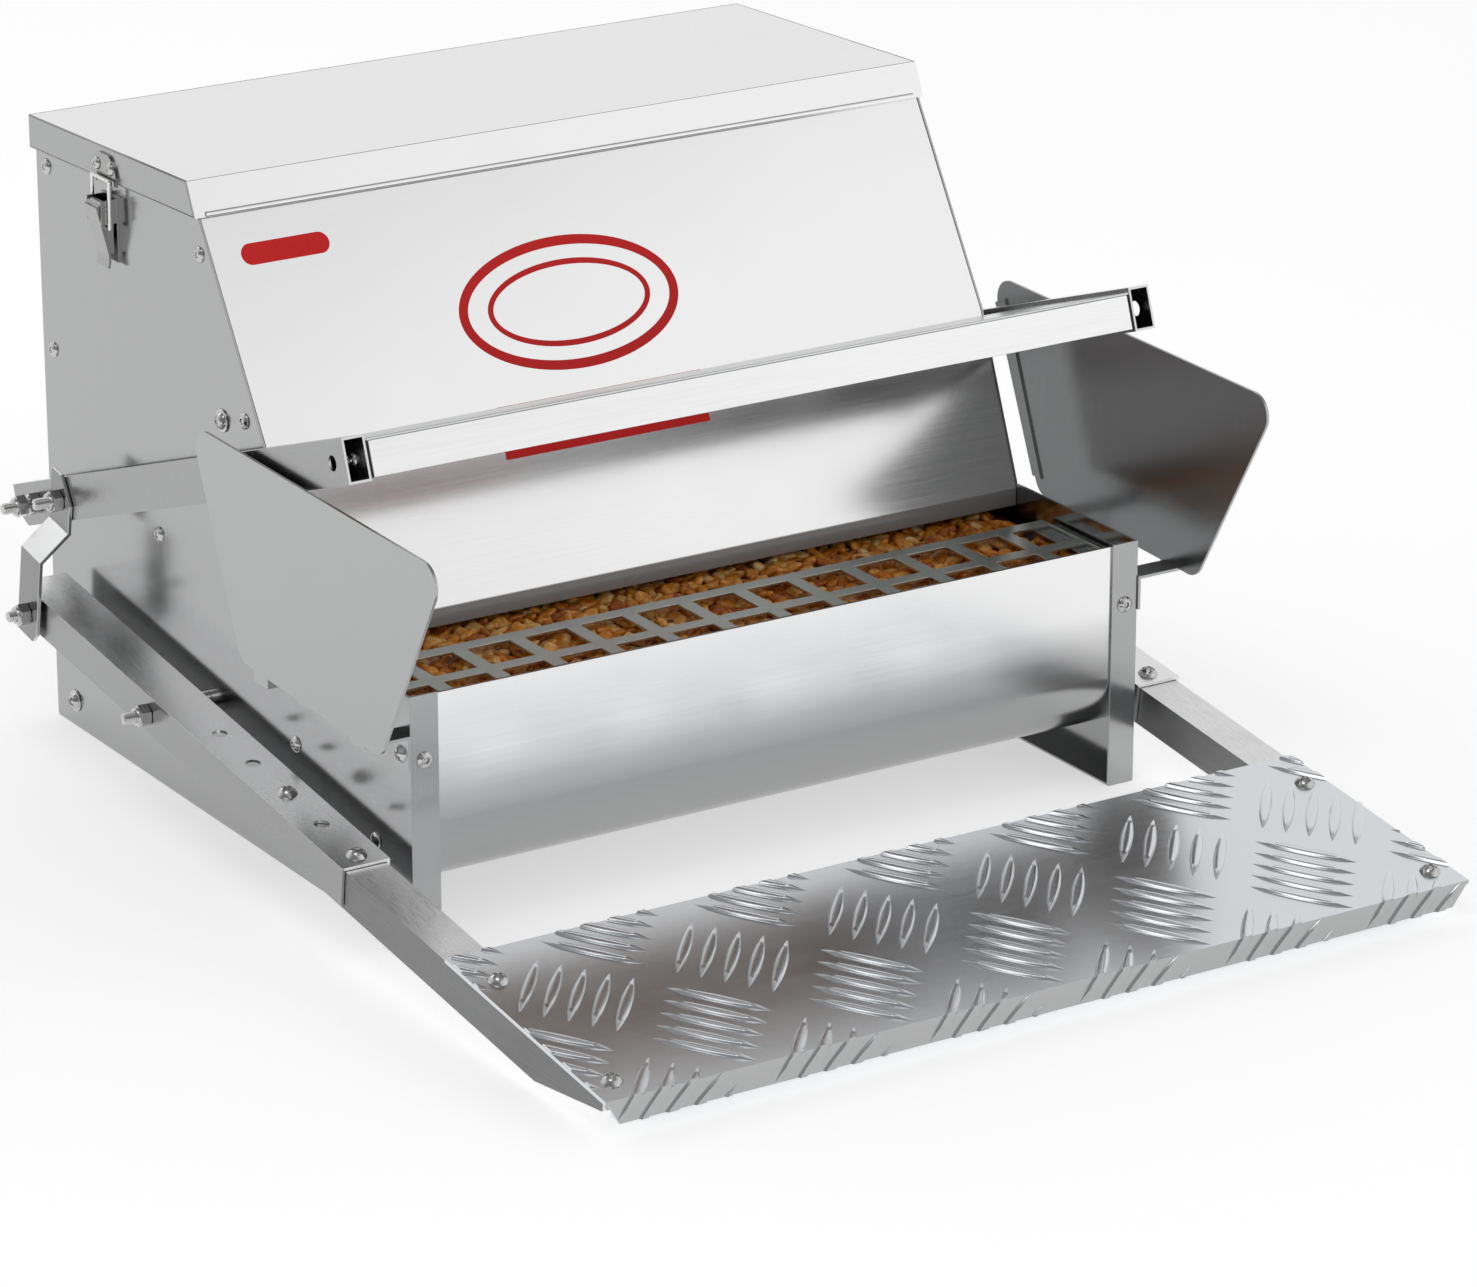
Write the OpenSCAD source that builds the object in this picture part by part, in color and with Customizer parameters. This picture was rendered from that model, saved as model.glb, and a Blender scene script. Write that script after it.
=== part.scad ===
// Treadle-operated poultry feeder: sheet-metal hopper and trough, lift-off lid with two toggle
// latches, a hinged trough cover on two arms, and a treadle that works the cover through two links.
// X is across, Y is back (the bird stands at the -Y side), Z is up. The origin is on the ground,
// under the middle of the whole feeder. Rest pose: treadle pressed down, cover raised.
// Inside the modules y is counted from the back face of the hopper; at_back() shifts it.

/* [Body] */
// Outside width of the hopper and trough
body_w = 416; // [380:1:460]
// Depth from the back face to the front of the trough
body_d = 375; // [372:1:379]
// Height of the hopper wall at the back
body_h = 319; // [312:1:326]
// Thickness of the body sheet
sheet = 1.2; // [0.8:0.1:1.4]
// Height of the trough lip above the ground
lip_h = 128.4; // [126:0.2:129]
// Width of the strip folded in at each front edge
strip_w = 15.2; // [12:0.2:18]

/* [Hopper] */
// Slope of the roof line, rise towards the front per unit of depth
roof_slope = 0.0378; // [0.03:0.0002:0.045]
// Lean of the upper hopper front from vertical, degrees
front_lean = 32; // [31:0.5:33]
// Lean of the lower hopper front from vertical, degrees
throat_lean = 21.6; // [21:0.1:22.5]
// Fall of the feed ramp, degrees
ramp_fall = 26; // [25:0.5:27]
// Outside radius of the rounded trough bottom
trough_r = 33.4; // [31:0.2:35]

/* [Lid] */
// Height of the lid's skirt
skirt_h = 16.8; // [14:0.2:18]
// Overhang of the lid past the hopper at each side
lid_over = 2; // [1.8:0.1:2.4]

/* [Cover] */
// Angle of the raised cover arms above level, degrees
open_angle = 19.3; // [18:0.1:19.6]
// Reach of the arms in front of their pivot
arm_reach = 347; // [345:1:348]
// Height of the arm tube
arm_h = 22; // [20:0.5:22]
// Width of the arm tube
arm_w = 12; // [11:0.5:12]

/* [Treadle] */
// Downward pitch of the pressed treadle, degrees
treadle_pitch = 7; // [6:0.1:7.2]
// Reach of the treadle plate in front of the treadle pivot
treadle_reach = 436; // [428:1:438]
// Depth of the treadle plate
plate_d = 143; // [120:1:150]
// Width of the square treadle tube
tube_w = 22; // [20:0.5:22]

/* [Guards] */
// Distance from the body's side to the outside of each guard
guard_gap = 25; // [24.5:0.1:27]

/* [Hidden] */
$fn = 48;

galvanised = [0.72, 0.73, 0.74];
bright = [0.86, 0.87, 0.88];
brushed = [0.62, 0.62, 0.62];
zinc = [0.8, 0.8, 0.8];
corn = [0.85, 0.5, 0.15];

back_y = 301;                     // back face of the hopper, measured from the origin
half_w = body_w / 2;
gap = 0.3;                        // clearance between parts that move past each other
in_w = half_w - sheet - gap;      // half width of the sheets that fit between the side panels

// Hopper front line: where the two flat stretches start and end, as [y, z]
front_knee = [-236, 213];
throat_end = [front_knee.x - (front_knee.y - 126) * tan(throat_lean), 126];
function roof_z(y) = body_h - roof_slope * y;
front_top_y = front_knee.x + 111.5 * tan(front_lean);
front_top = [front_top_y, roof_z(front_top_y)];

// Feed ramp: height of its top face at depth y, and the trough arc tangent to ramp and front wall
function ramp_z(y) = 188.5 + y * tan(ramp_fall);
wall_y = -body_d + sheet;         // outside of the trough's front wall, behind the strips
arc_y = wall_y + trough_r;
arc_z = ramp_z(arc_y) - sheet / cos(ramp_fall) + trough_r / cos(ramp_fall);
arc_join_y = arc_y + trough_r * sin(ramp_fall);

// Rivets in the side walls, [y, z]
side_rivets = [[-11.5, 297], [-11.5, 201], [-11.5, 60], [-176, 292.5], [-218, 220],
               [-123.5, 134.7], [-262, 68.5], [-340, 45]];
side_screws = [[-195.3, 214], [-21.5, 14]];
strip_rivet_z = 96;
rivet_r = 2;
screw_r = 2.5;
bolt_r = 3;                       // M6 bolts
run_fit = 0.1;                    // radial clearance of a bolt that something turns on

// Cover pivot, treadle pivot and the two link pins, [y, z]
cover_pivot = [-27, 127];
link_arm = 32;                    // cover pivot to link pin, along the arm
link_top = cover_pivot + link_arm * [-cos(open_angle), sin(open_angle)];
treadle_pivot = [-170, 61];
link_bottom = [-46, 76.5];
link_lean = atan2(link_bottom.x - link_top.x, link_top.y - link_bottom.y);
link_len = norm(link_top - link_bottom);
arm_in = half_w + 7.8;            // inner face of the cover arm
arm_out = arm_in + arm_w;

// Treadle cross-section
tube_x = half_w + 20.4;           // centre line of the treadle tube
tube_top = 8.5;
tube_h = 20;
channel_t = 1.5;
channel_in = tube_x - tube_w / 2 - gap - channel_t;
channel_out = tube_x + tube_w / 2 + gap + channel_t;
channel_back = 141.5;
channel_front = 197.5;
channel_hole_pitch = 34.3;
channel_holes = [for (i = [0:4]) 51 + i * channel_hole_pitch];
plate_t = 2;
plate_half = 240.5;
plate_front_h = 13;

// Latch, distances outwards from the body's side
latch_y = -82;
lever_pivot = [7, 295];
bail_pivot = [5.4, 285];
bail_len = 24;
bail_wire = 1;
bail_half = 9.2;

module at_back() translate([0, back_y, 0]) children();
module mirror_left() mirror([1, 0, 0]) children();
module both_sides() { children(); mirror([1, 0, 0]) children(); }

// Extrudes a [y, z] outline along X
module along_x(x0, x1) translate([x0, 0, 0]) rotate([90, 0, 90]) linear_extrude(x1 - x0) children();

// Round rod along X
module rod_x(x0, x1, at, r, sides = 48)
    translate([x0, at.x, at.y]) rotate([0, 90, 0]) cylinder(h = x1 - x0, r = r, $fn = sides);

// Hexagon nut along X with its bore, and a thin collar on its outer face
module nut_x(x0, len, at, collar = 1) difference() {
    union() {
        rod_x(x0, x0 + len, at, 5.77, 6);
        rod_x(x0 + len, x0 + len + collar, at, 4.4);
    }
    rod_x(x0 - 1, x0 + len + collar + 1, at, bolt_r + 0.01);
}

// Low domed head whose flat side is at z = 0, with its shank below
module pan_head(r, h, shank_r, shank_len) {
    ball = (r * r + h * h) / (2 * h);
    rotate_extrude() union() {
        intersection() {
            translate([0, h - ball]) circle(r = ball);
            square([r, h]);
        }
        translate([0, -shank_len]) square([shank_r, shank_len]);
    }
}

// The same head on a side face at x, pointing outwards
module side_head(x, at, r, h, shank_r, shank_len)
    translate([x, at.x, at.y]) rotate([0, 90, 0]) pan_head(r, h, shank_r, shank_len);

// Outline of a bent sheet: the points are one face, the other face is t to their left
function turn(a, b) = let (d = (b - a) / norm(b - a)) [-d.y, d.x];
function bend(p, i) =
    let (last = len(p) - 1,
         n1 = turn(p[max(i - 1, 0)], p[max(i, 1)]),
         n2 = turn(p[min(i, last - 1)], p[min(i + 1, last)]))
    (n1 + n2) / (1 + n1 * n2);
function bent_sheet(p, t) =
    concat(p, [for (i = [len(p) - 1:-1:0]) p[i] + t * bend(p, i)]);

// Flat outline with a round of radius r on each corner; the points run counter-clockwise
module rounded_outline(p, r) {
    n = len(p);
    centre = [for (i = [0:n - 1])
        p[i] + r * bend([p[(i + n - 1) % n], p[i], p[(i + 1) % n]], 1)];
    touch = [for (i = [0:n - 1]) for (k = [n - 1, 0])
        centre[i] - r * turn(p[(i + k) % n], p[(i + k + 1) % n])];
    polygon(touch);
    for (c = centre) translate(c) circle(r = r);
}

// ---------------------------------------------------------------- body

side_outline = [
    [0, 0], [0, roof_z(0)], front_top, front_knee, throat_end,
    [throat_end.x, lip_h], [-body_d, lip_h], [-body_d, 0]
];

module side_holes() {
    for (p = side_rivets) rod_x(in_w - 3 * sheet, half_w + 1, p, rivet_r);
    for (p = side_screws) rod_x(in_w - 3 * sheet, half_w + 1, p, screw_r);
    rod_x(in_w - 3 * sheet, half_w + 1, cover_pivot, bolt_r + 0.01);
    rod_x(in_w - 3 * sheet, half_w + 1, treadle_pivot, bolt_r + 0.01);
    for (y = guard_tab_y) rod_x(in_w - 3 * sheet, half_w + 1, [y, guard_screw_z], screw_r);
}

module strip_rivet_hole()
    translate([half_w - strip_w / 2, -body_d - 1, strip_rivet_z])
        rotate([-90, 0, 0]) cylinder(h = 5, r = rivet_r);

module side_panel() color(galvanised) at_back() difference() {
    union() {
        along_x(half_w - sheet, half_w) polygon(side_outline);
        translate([half_w - strip_w, -body_d, 0]) cube([strip_w - sheet, sheet, lip_h]);
        translate([half_w - strip_w, -body_d + sheet, 0])
            cube([strip_w - sheet, body_d - 2 * sheet - 16, sheet]);
    }
    side_holes();
    strip_rivet_hole();
}

module rear_panel() color(galvanised) at_back() difference() {
    union() {
        translate([-in_w, -sheet, 0]) cube([2 * in_w, sheet, roof_z(0)]);
        translate([-in_w, -15, 0]) cube([2 * in_w, 15 - sheet, sheet]);
        both_sides() translate([in_w - sheet, -19, sheet])
            cube([sheet, 19 - sheet, roof_z(0) - sheet - 1]);
    }
    both_sides() side_holes();
}

// The flange inside each side wall is notched at the throat so that it clears the baffle
module hopper_front() color(bright) at_back() difference() {
    union() {
        along_x(-in_w, in_w) polygon(bent_sheet(
            [front_top - [0.4, 1.2], front_knee, throat_end, throat_end - [0, 9]], sheet));
        both_sides() along_x(in_w - sheet, in_w) polygon([
            front_top - [-1, 2.2], front_knee + [1, 0], front_knee + [14, 4], front_top + [13, -1.6]
        ]);
    }
    both_sides() side_holes();
}

// Region above the ramp and inside the trough, for a trough bottom of radius r
module trough_space(r, back, top_back, top_front) {
    foot = [arc_y + r * sin(ramp_fall), arc_z - r * cos(ramp_fall)];
    polygon([[arc_y, arc_z], foot, [back, foot.y + (back - foot.x) * tan(ramp_fall)],
             [back, top_back], [arc_y - r, top_front], [arc_y - r, arc_z]]);
    translate([arc_y, arc_z]) circle(r = r, $fn = 96);
}

// Section through back flange, ramp, rounded trough bottom and front wall
module trough_section() difference() {
    back = -sheet - gap;
    trough_space(trough_r, back, ramp_z(back) + 12, lip_h - 1);
    trough_space(trough_r - sheet, back - sheet, ramp_z(back) + 40, lip_h + 40);
}

trough_half = in_w - sheet - gap;

// Plain plate stuck to the lower hopper front, just under the knee
label_x = [-80, 37];
module label_plate() color([0.75, 0.08, 0.08]) at_back() {
    down = (throat_end - front_knee) / norm(throat_end - front_knee);
    along_x(label_x[0], label_x[1])
        polygon(bent_sheet([front_knee + 3.5 * down, front_knee + 29.5 * down], -0.3));
}

module trough_ramp() color(galvanised) at_back() difference() {
    union() {
        along_x(-trough_half, trough_half) trough_section();
        both_sides() along_x(trough_half - sheet, trough_half) {
            polygon([[-22, ramp_z(-22) - 0.5], [-22, ramp_z(-22) + 14],
                     [arc_join_y, ramp_z(arc_join_y) + 14], [arc_join_y, ramp_z(arc_join_y) - 0.5]]);
            intersection() {
                translate([arc_y, arc_z]) circle(r = trough_r - sheet / 2, $fn = 96);
                translate([arc_y - trough_r, 0]) square([trough_r + 10, arc_z]);
            }
        }
    }
    both_sides() side_holes();
    both_sides() strip_rivet_hole();
}

// Plate inside the hopper that holds the feed back to a low throat
module feed_baffle() color(galvanised) at_back() {
    half = trough_half - sheet - gap;
    top = [-188, 226];
    foot = [-226, 112];
    difference() {
        union() {
            along_x(-half, half) polygon(bent_sheet([top, foot], sheet));
            both_sides() along_x(half - sheet, half)
                polygon([top, top + [-14, -8], [-205, 200], [-198, 196]]);
        }
        both_sides() side_holes();
    }
}

grille_top = 118;
grille_t = 1.5;
grille_back = -299;
grille_bar = 8;
grille_columns = 13;
grille_pitch = 31.7;
grille_cell = [23.7, 25];

module trough_grille() color(bright) at_back() {
    half = trough_half - sheet - 0.5;
    front = wall_y + sheet + 0.3;
    difference() {
        translate([-half, front, grille_top - grille_t])
            cube([2 * half, grille_back - front, grille_t]);
        for (i = [0:grille_columns - 1]) for (row = [0, 1])
            translate([(i - (grille_columns - 1) / 2) * grille_pitch - grille_cell.x / 2,
                       grille_back - grille_bar - grille_cell.y
                           - row * (grille_cell.y + grille_bar), grille_top - grille_t - 1])
                cube([grille_cell.x, grille_cell.y, grille_t + 2]);
    }
}

// Angle strips on the side walls that the grille rests on
module grille_rails() color(galvanised) at_back() both_sides() {
    rail_z = grille_top - grille_t - sheet;
    translate([in_w - 14, wall_y + sheet + 1, rail_z]) cube([14, 68, sheet]);
    translate([in_w - sheet, wall_y + sheet + 1, rail_z - 10]) cube([sheet, 68, 10]);
}

// Feed lying in the trough, level just under the grille
feed_top = 110;
module feed() color(corn) at_back() {
    half = trough_half - sheet - 2;
    inner = trough_r - sheet - 0.2;
    back_y_feed = (feed_top - 188.5 - 0.3) / tan(ramp_fall);
    join = [arc_y + inner * sin(ramp_fall), arc_z - inner * cos(ramp_fall)];
    along_x(-half, half) difference() {
        union() {
            polygon([[arc_y, arc_z], join, [back_y_feed, feed_top], [arc_y - inner, feed_top],
                     [arc_y - inner, arc_z]]);
            translate([arc_y, arc_z]) circle(r = inner, $fn = 96);
        }
        translate([-231, feed_top - 2]) square([12, 10]);
    }
}

module body_rivets() color(zinc) at_back() both_sides() {
    for (p = side_rivets) side_head(half_w, p, 4.2, 2, rivet_r - 0.01, 3.2);
    translate([half_w - strip_w / 2, -body_d, strip_rivet_z]) rotate([90, 0, 0])
        pan_head(4.2, 2, rivet_r - 0.01, 2.5);
}

module panel_screws() color(zinc) at_back() both_sides()
    for (p = side_screws) side_head(half_w + 1, p, 4.4, 3, screw_r - 0.01, 5.4);

module panel_washers() color(zinc) at_back() both_sides() for (p = side_screws) difference() {
    rod_x(half_w, half_w + 1, p, 5.8);
    rod_x(half_w - 1, half_w + 2, p, screw_r);
}

// ---------------------------------------------------------------- side guards

guard_out = half_w + guard_gap;
guard_t = 1.5;
guard_outline = [[-209, 221], [-454, 218], [-392, 109], [-255, 114]];
guard_tab_y = [-275, -369];
guard_tab_w = 14;
guard_tab_z = 108;
guard_screw_z = 99;

module guard() color(galvanised) at_back() difference() {
    union() {
        along_x(guard_out - guard_t, guard_out) rounded_outline(guard_outline, 11);
        along_x(guard_out - guard_t - 1.1, guard_out - guard_t)
            polygon([[-214.5, 207], [-223, 211], [-258, 123], [-250.5, 123]]);
        for (y = guard_tab_y) {
            translate([half_w, y - guard_tab_w / 2, guard_tab_z])
                cube([guard_gap - guard_t / 2, guard_tab_w, guard_t]);
            translate([guard_out - guard_t, y - guard_tab_w / 2, guard_tab_z])
                cube([guard_t, guard_tab_w, 8]);
            translate([half_w, y - guard_tab_w / 2, guard_screw_z - 7])
                cube([guard_t, guard_tab_w, guard_tab_z - guard_screw_z + 7 + guard_t]);
        }
    }
    for (y = guard_tab_y) rod_x(half_w - 1, half_w + 3, [y, guard_screw_z], screw_r);
}

module guard_screws() color(zinc) at_back() both_sides() for (y = guard_tab_y)
    side_head(half_w + guard_t, [y, guard_screw_z], 4.4, 3, screw_r - 0.01, 5.4);

// ---------------------------------------------------------------- lid and latches

lid_half = half_w + lid_over;
lid_back = 3;
lid_front = -168.8;
lid_lean = 25;                    // lean of the front skirt
function lid_z(y) = body_h + 2 + roof_slope * (lid_back - y);

module lid() color(bright) at_back() {
    seam = 0.5;
    front_foot = lid_front - skirt_h * tan(lid_lean);
    along_x(-lid_half, lid_half) polygon([
        [lid_back, lid_z(lid_back)], [lid_front, lid_z(lid_front)],
        [lid_front, lid_z(lid_front) - sheet], [lid_back, lid_z(lid_back) - sheet]
    ]);
    // back and front skirts
    translate([-lid_half, lid_back - sheet, lid_z(lid_back) - skirt_h])
        cube([2 * lid_half, sheet, skirt_h - sheet / 2]);
    along_x(-lid_half, lid_half) polygon([
        [lid_front, lid_z(lid_front)], [front_foot, lid_z(lid_front) - skirt_h],
        [front_foot + sheet, lid_z(lid_front) - skirt_h], [lid_front + sheet, lid_z(lid_front) - sheet / 2]
    ]);
    // side skirts, open at the front corners by a narrow seam
    both_sides() along_x(lid_half - sheet, lid_half) polygon([
        [lid_back, lid_z(lid_back) - sheet / 2],
        [lid_front + sheet + seam, lid_z(lid_front) - sheet / 2],
        [front_foot + sheet + seam, lid_z(lid_front) - skirt_h],
        [lid_back, lid_z(lid_back) - skirt_h]
    ]);
}

catch_rivet_y = [latch_y - 7.2, latch_y + 7.2];
catch_rivet_z = 314.6;

// Catch plate on the lid skirt with a short lip turned out at its foot
module latch_catch() color(zinc) at_back() difference() {
    x = lid_half;
    union() {
        along_x(x, x + sheet) union() {
            translate([latch_y, 309]) intersection() {
                circle(r = 13);
                translate([-13, 0]) square([26, 12]);
            }
            translate([latch_y - 13, 306.5]) square([26, 3]);
        }
        translate([x, latch_y - 7.2, 306]) cube([2, 14.4, 1]);
        translate([x + 1.2, latch_y - 7.2, 306]) cube([0.8, 14.4, 2.2]);
    }
    for (y = catch_rivet_y) rod_x(x - 2, x + 3, [y, catch_rivet_z], 1.6);
}

module catch_rivets() color(zinc) at_back() both_sides() for (y = catch_rivet_y)
    side_head(lid_half + sheet, [y, catch_rivet_z], 3.4, 1.6, 1.59, sheet);

// Base plate with two ears that carry the lever pin
module latch_base() color(zinc) at_back() difference() {
    union() {
        translate([half_w, latch_y - 8.6, 267]) cube([sheet, 17.2, 33]);
        for (s = [-1, 1]) translate([half_w, latch_y + s * 7.4 - 0.5, 287])
            cube([lever_pivot.x + 2.4, 1, 12]);
    }
    translate([half_w + lever_pivot.x, latch_y - 20, lever_pivot.y])
        rotate([-90, 0, 0]) cylinder(h = 40, r = 1.3);
}

module latch_pins() color(zinc) at_back() both_sides()
    translate([half_w + lever_pivot.x, latch_y - 8, lever_pivot.y])
        rotate([-90, 0, 0]) cylinder(h = 16, r = 1.3);

// Lever: curled round its pin, a blade that leans in between two side walls, and a finger tab
module latch_lever() color(zinc) at_back() difference() {
    half = 6.6;
    union() {
        translate([half_w + lever_pivot.x, latch_y - half, lever_pivot.y])
            rotate([-90, 0, 0]) cylinder(h = 2 * half, r = 3.2);
        translate([half_w, latch_y + half, 0]) rotate([90, 0, 0]) linear_extrude(2 * half)
            polygon(bent_sheet([[10.1, 296], [4.1, 271.5], [3.9, 268], [4.6, 264]], 1.2));
        for (s = [-1, 1]) translate([half_w, latch_y + s * (half - 0.6) + 0.6, 0])
            rotate([90, 0, 0]) linear_extrude(1.2)
                polygon([[4.4, 297], [10, 296], [4, 271.5], [2.2, 271.5], [2.2, 289]]);
    }
    translate([half_w + lever_pivot.x, latch_y - 20, lever_pivot.y])
        rotate([-90, 0, 0]) cylinder(h = 40, r = 1.3 + run_fit);
    for (s = [-1, 1]) translate([half_w + bail_pivot.x, latch_y + s * 6, bail_pivot.y])
        rotate([90, 0, 0]) cylinder(h = 6, r = bail_wire + run_fit, center = true);
}

// Wire loop: a top rod, two legs and two short ends turned into the lever
module latch_bail() color(zinc) at_back() {
    lean = -0.8;
    translate([half_w + bail_pivot.x, latch_y, bail_pivot.y]) rotate([0, lean, 0]) {
        translate([0, 0, bail_len]) rotate([90, 0, 0])
            cylinder(h = 2 * bail_half, r = bail_wire, center = true, $fn = 24);
        for (s = [-1, 1]) {
            translate([0, s * bail_half, 0]) cylinder(h = bail_len, r = bail_wire, $fn = 24);
            for (z = [0, bail_len]) translate([0, s * bail_half, z]) sphere(r = bail_wire, $fn = 24);
            translate([0, s * (bail_half + 5.7) / 2, 0]) rotate([90, 0, 0])
                cylinder(h = bail_half - 5.7, r = bail_wire, center = true, $fn = 24);
        }
    }
}

// ---------------------------------------------------------------- trough cover

// Local frame of the cover: forwards is -y, up is z, origin at the cover pivot
module in_cover() at_back() translate([0, cover_pivot.x, cover_pivot.y])
    rotate([-open_angle, 0, 0]) children();

bar_h = 17.4;
bar_d = 20;
bar_half = arm_in - 1.3;
screw_back = 13;                  // crossbar screw, back from the arm's front end

module cover_arm() color(brushed) in_cover() difference() {
    wall = 1.2;
    rear = 26.5;
    along_x(arm_in, arm_out) polygon([
        [rear, -arm_h / 2 + 9], [rear, arm_h / 2], [-arm_reach, arm_h / 2],
        [-arm_reach, -arm_h / 2], [rear - 10, -arm_h / 2]
    ]);
    along_x(arm_in + wall, arm_out - wall) polygon([
        [rear + 1, -arm_h / 2 + wall + 9.6], [rear + 1, arm_h / 2 - wall],
        [-arm_reach - 1, arm_h / 2 - wall], [-arm_reach - 1, -arm_h / 2 + wall],
        [rear - 10, -arm_h / 2 + wall]
    ]);
    rod_x(arm_in - 1, arm_out + 1, [0, 0], bolt_r + run_fit);
    rod_x(arm_in - 1, arm_out + 1, [-link_arm, 0], bolt_r + 0.01);
    rod_x(arm_out - 2 * wall, arm_out + 1, [-arm_reach + screw_back, 0], 3.8);
    rod_x(arm_in - 1, arm_in + 2 * wall, [-arm_reach + screw_back, 0], 2.01);
}

module crossbar() color(bright) in_cover() difference() {
    wall = 1.2;
    along_x(-bar_half, bar_half) translate([-arm_reach, -bar_h / 2 - 1]) square([bar_d, bar_h]);
    along_x(-bar_half - 1, bar_half + 1)
        translate([-arm_reach + wall, -bar_h / 2 - 1 + wall])
            square([bar_d - 2 * wall, bar_h - 2 * wall]);
}

// Plug in each end of the crossbar, with a thin flange and a bore for the screw
module crossbar_end_caps() color([0.1, 0.1, 0.1]) in_cover() both_sides() difference() {
    union() {
        along_x(bar_half, arm_in) translate([-arm_reach, -bar_h / 2 - 1]) square([bar_d, bar_h]);
        along_x(bar_half - 12, bar_half) translate([-arm_reach + 1.25, -bar_h / 2 + 0.25])
            square([bar_d - 2.5, bar_h - 2.5]);
    }
    rod_x(bar_half - 14, arm_in + 1, [-arm_reach + screw_back, 0], 2);
}

module crossbar_screws() color(zinc) in_cover() both_sides()
    side_head(arm_in + 1.2, [-arm_reach + screw_back, 0], 3.6, 2.6, 1.99, 12);

cover_back = 249;                 // back edge of the cover plate, from the cover pivot
cover_z = bar_h / 2 - 1;

module cover_plate() color(bright) in_cover() {
    half = arm_in - 0.1;
    along_x(-half, half) polygon(bent_sheet([[-cover_back, cover_z - 9], [-cover_back, cover_z],
        [-arm_reach, cover_z]], -sheet));
    both_sides() along_x(half - sheet, half)
        translate([-arm_reach + bar_d + 1, cover_z - 12])
            square([arm_reach - bar_d - cover_back - 2, 12]);
}

// ---------------------------------------------------------------- pivots

module cover_pivot_bolts() color(zinc) at_back() both_sides() {
    rod_x(half_w - sheet - 3.6, half_w - sheet, cover_pivot, 5.77, 6);
    rod_x(half_w - sheet, arm_out + 20, cover_pivot, bolt_r);
}

module cover_pivot_spacers() color(zinc) at_back() both_sides() difference() {
    rod_x(half_w, arm_in - gap, cover_pivot, 6);
    rod_x(half_w - 1, arm_in, cover_pivot, bolt_r + 0.01);
}

// Two nuts locked against each other
module cover_pivot_nuts() color(zinc) at_back() both_sides() {
    nut_x(arm_out + gap, 5, cover_pivot, 0.6);
    nut_x(arm_out + gap + 7, 5, cover_pivot, 1);
}

module treadle_pivot_bolts() color(zinc) at_back() both_sides() {
    rod_x(half_w - sheet - 3.6, half_w - sheet, treadle_pivot, 5.77, 6);
    rod_x(half_w - sheet, channel_out + 14, treadle_pivot, bolt_r);
}

module treadle_pivot_spacers() color(zinc) at_back() both_sides() difference() {
    rod_x(half_w, channel_in - gap, treadle_pivot, 6);
    rod_x(half_w - 1, channel_in, treadle_pivot, bolt_r + 0.01);
}

module treadle_pivot_nuts() color(zinc) at_back() both_sides()
    nut_x(channel_out + gap, 6, treadle_pivot);

// ---------------------------------------------------------------- links

link_t = 2;
link_w = 21;
link_low_x = channel_out + 2;     // inner face of the link's lower flat
link_up_x = arm_out + gap;        // inner face of the link's upper flat

// Local frame of a link: origin at its lower pin, z towards its upper pin
module in_link() at_back() translate([0, link_bottom.x, link_bottom.y])
    rotate([link_lean, 0, 0]) children();

module link() color(galvanised) in_link() difference() {
    top = link_len + 14;
    foot = -13;
    intersection() {
        translate([0, link_w / 2, 0]) rotate([90, 0, 0]) linear_extrude(link_w)
            polygon(bent_sheet([[link_low_x, foot], [link_low_x, 33], [link_up_x, 47],
                                [link_up_x, top]], -link_t));
        along_x(arm_out, channel_out + 10) polygon([
            [link_w / 2, foot], [link_w / 2, top - 1], [link_w / 2 - 1, top],
            [-link_w / 2 + 11, top], [-link_w / 2, top - 13], [-link_w / 2, foot + 5],
            [-link_w / 2 + 4, foot]
        ]);
    }
    rod_x(arm_out, channel_out + 10, [0, 0], bolt_r + run_fit);
    rod_x(arm_out, channel_out, [0, link_len], bolt_r + 0.7);
}

module link_top_bolts() color(zinc) at_back() both_sides() {
    rod_x(arm_in - 3, arm_in, link_top, 5, 6);
    rod_x(arm_in, link_up_x + link_t + 14.5, link_top, bolt_r);
}

module link_top_nuts() color(zinc) at_back() both_sides()
    nut_x(link_up_x + link_t + gap, 6, link_top, 1);

module link_bottom_bolts() color(zinc) at_back() both_sides() {
    rod_x(channel_out - channel_t - 3, channel_out - channel_t, link_bottom, 5, 6);
    rod_x(channel_out - channel_t, link_low_x + link_t + 11, link_bottom, bolt_r);
}

module link_bottom_nuts() color(zinc) at_back() both_sides()
    nut_x(link_low_x + link_t + gap, 6, link_bottom, 1);

module link_spacers() color(zinc) at_back() both_sides() difference() {
    rod_x(channel_out, link_low_x - gap, link_bottom, 5.5);
    rod_x(channel_out - 1, link_low_x, link_bottom, bolt_r + 0.01);
}

// ---------------------------------------------------------------- treadle

// Local frame of the treadle: forwards is -y, origin at the treadle pivot
module in_treadle() at_back() translate([0, treadle_pivot.x, treadle_pivot.y])
    rotate([treadle_pitch, 0, 0]) children();

channel_top = tube_top + gap + channel_t;
channel_foot = channel_top - 20;
tube_back = 104;                  // back end of the tube, in front of the pivot
tube_front = 432;
plate_screw_a = [321, 421];       // plate screws, in front of the pivot
channel_screw_a = [channel_holes[2], channel_holes[4]];
link_bottom_local = [
    (link_bottom.x - treadle_pivot.x) * cos(treadle_pitch)
        + (link_bottom.y - treadle_pivot.y) * sin(treadle_pitch),
    -(link_bottom.x - treadle_pivot.x) * sin(treadle_pitch)
        + (link_bottom.y - treadle_pivot.y) * cos(treadle_pitch)
];

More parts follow.
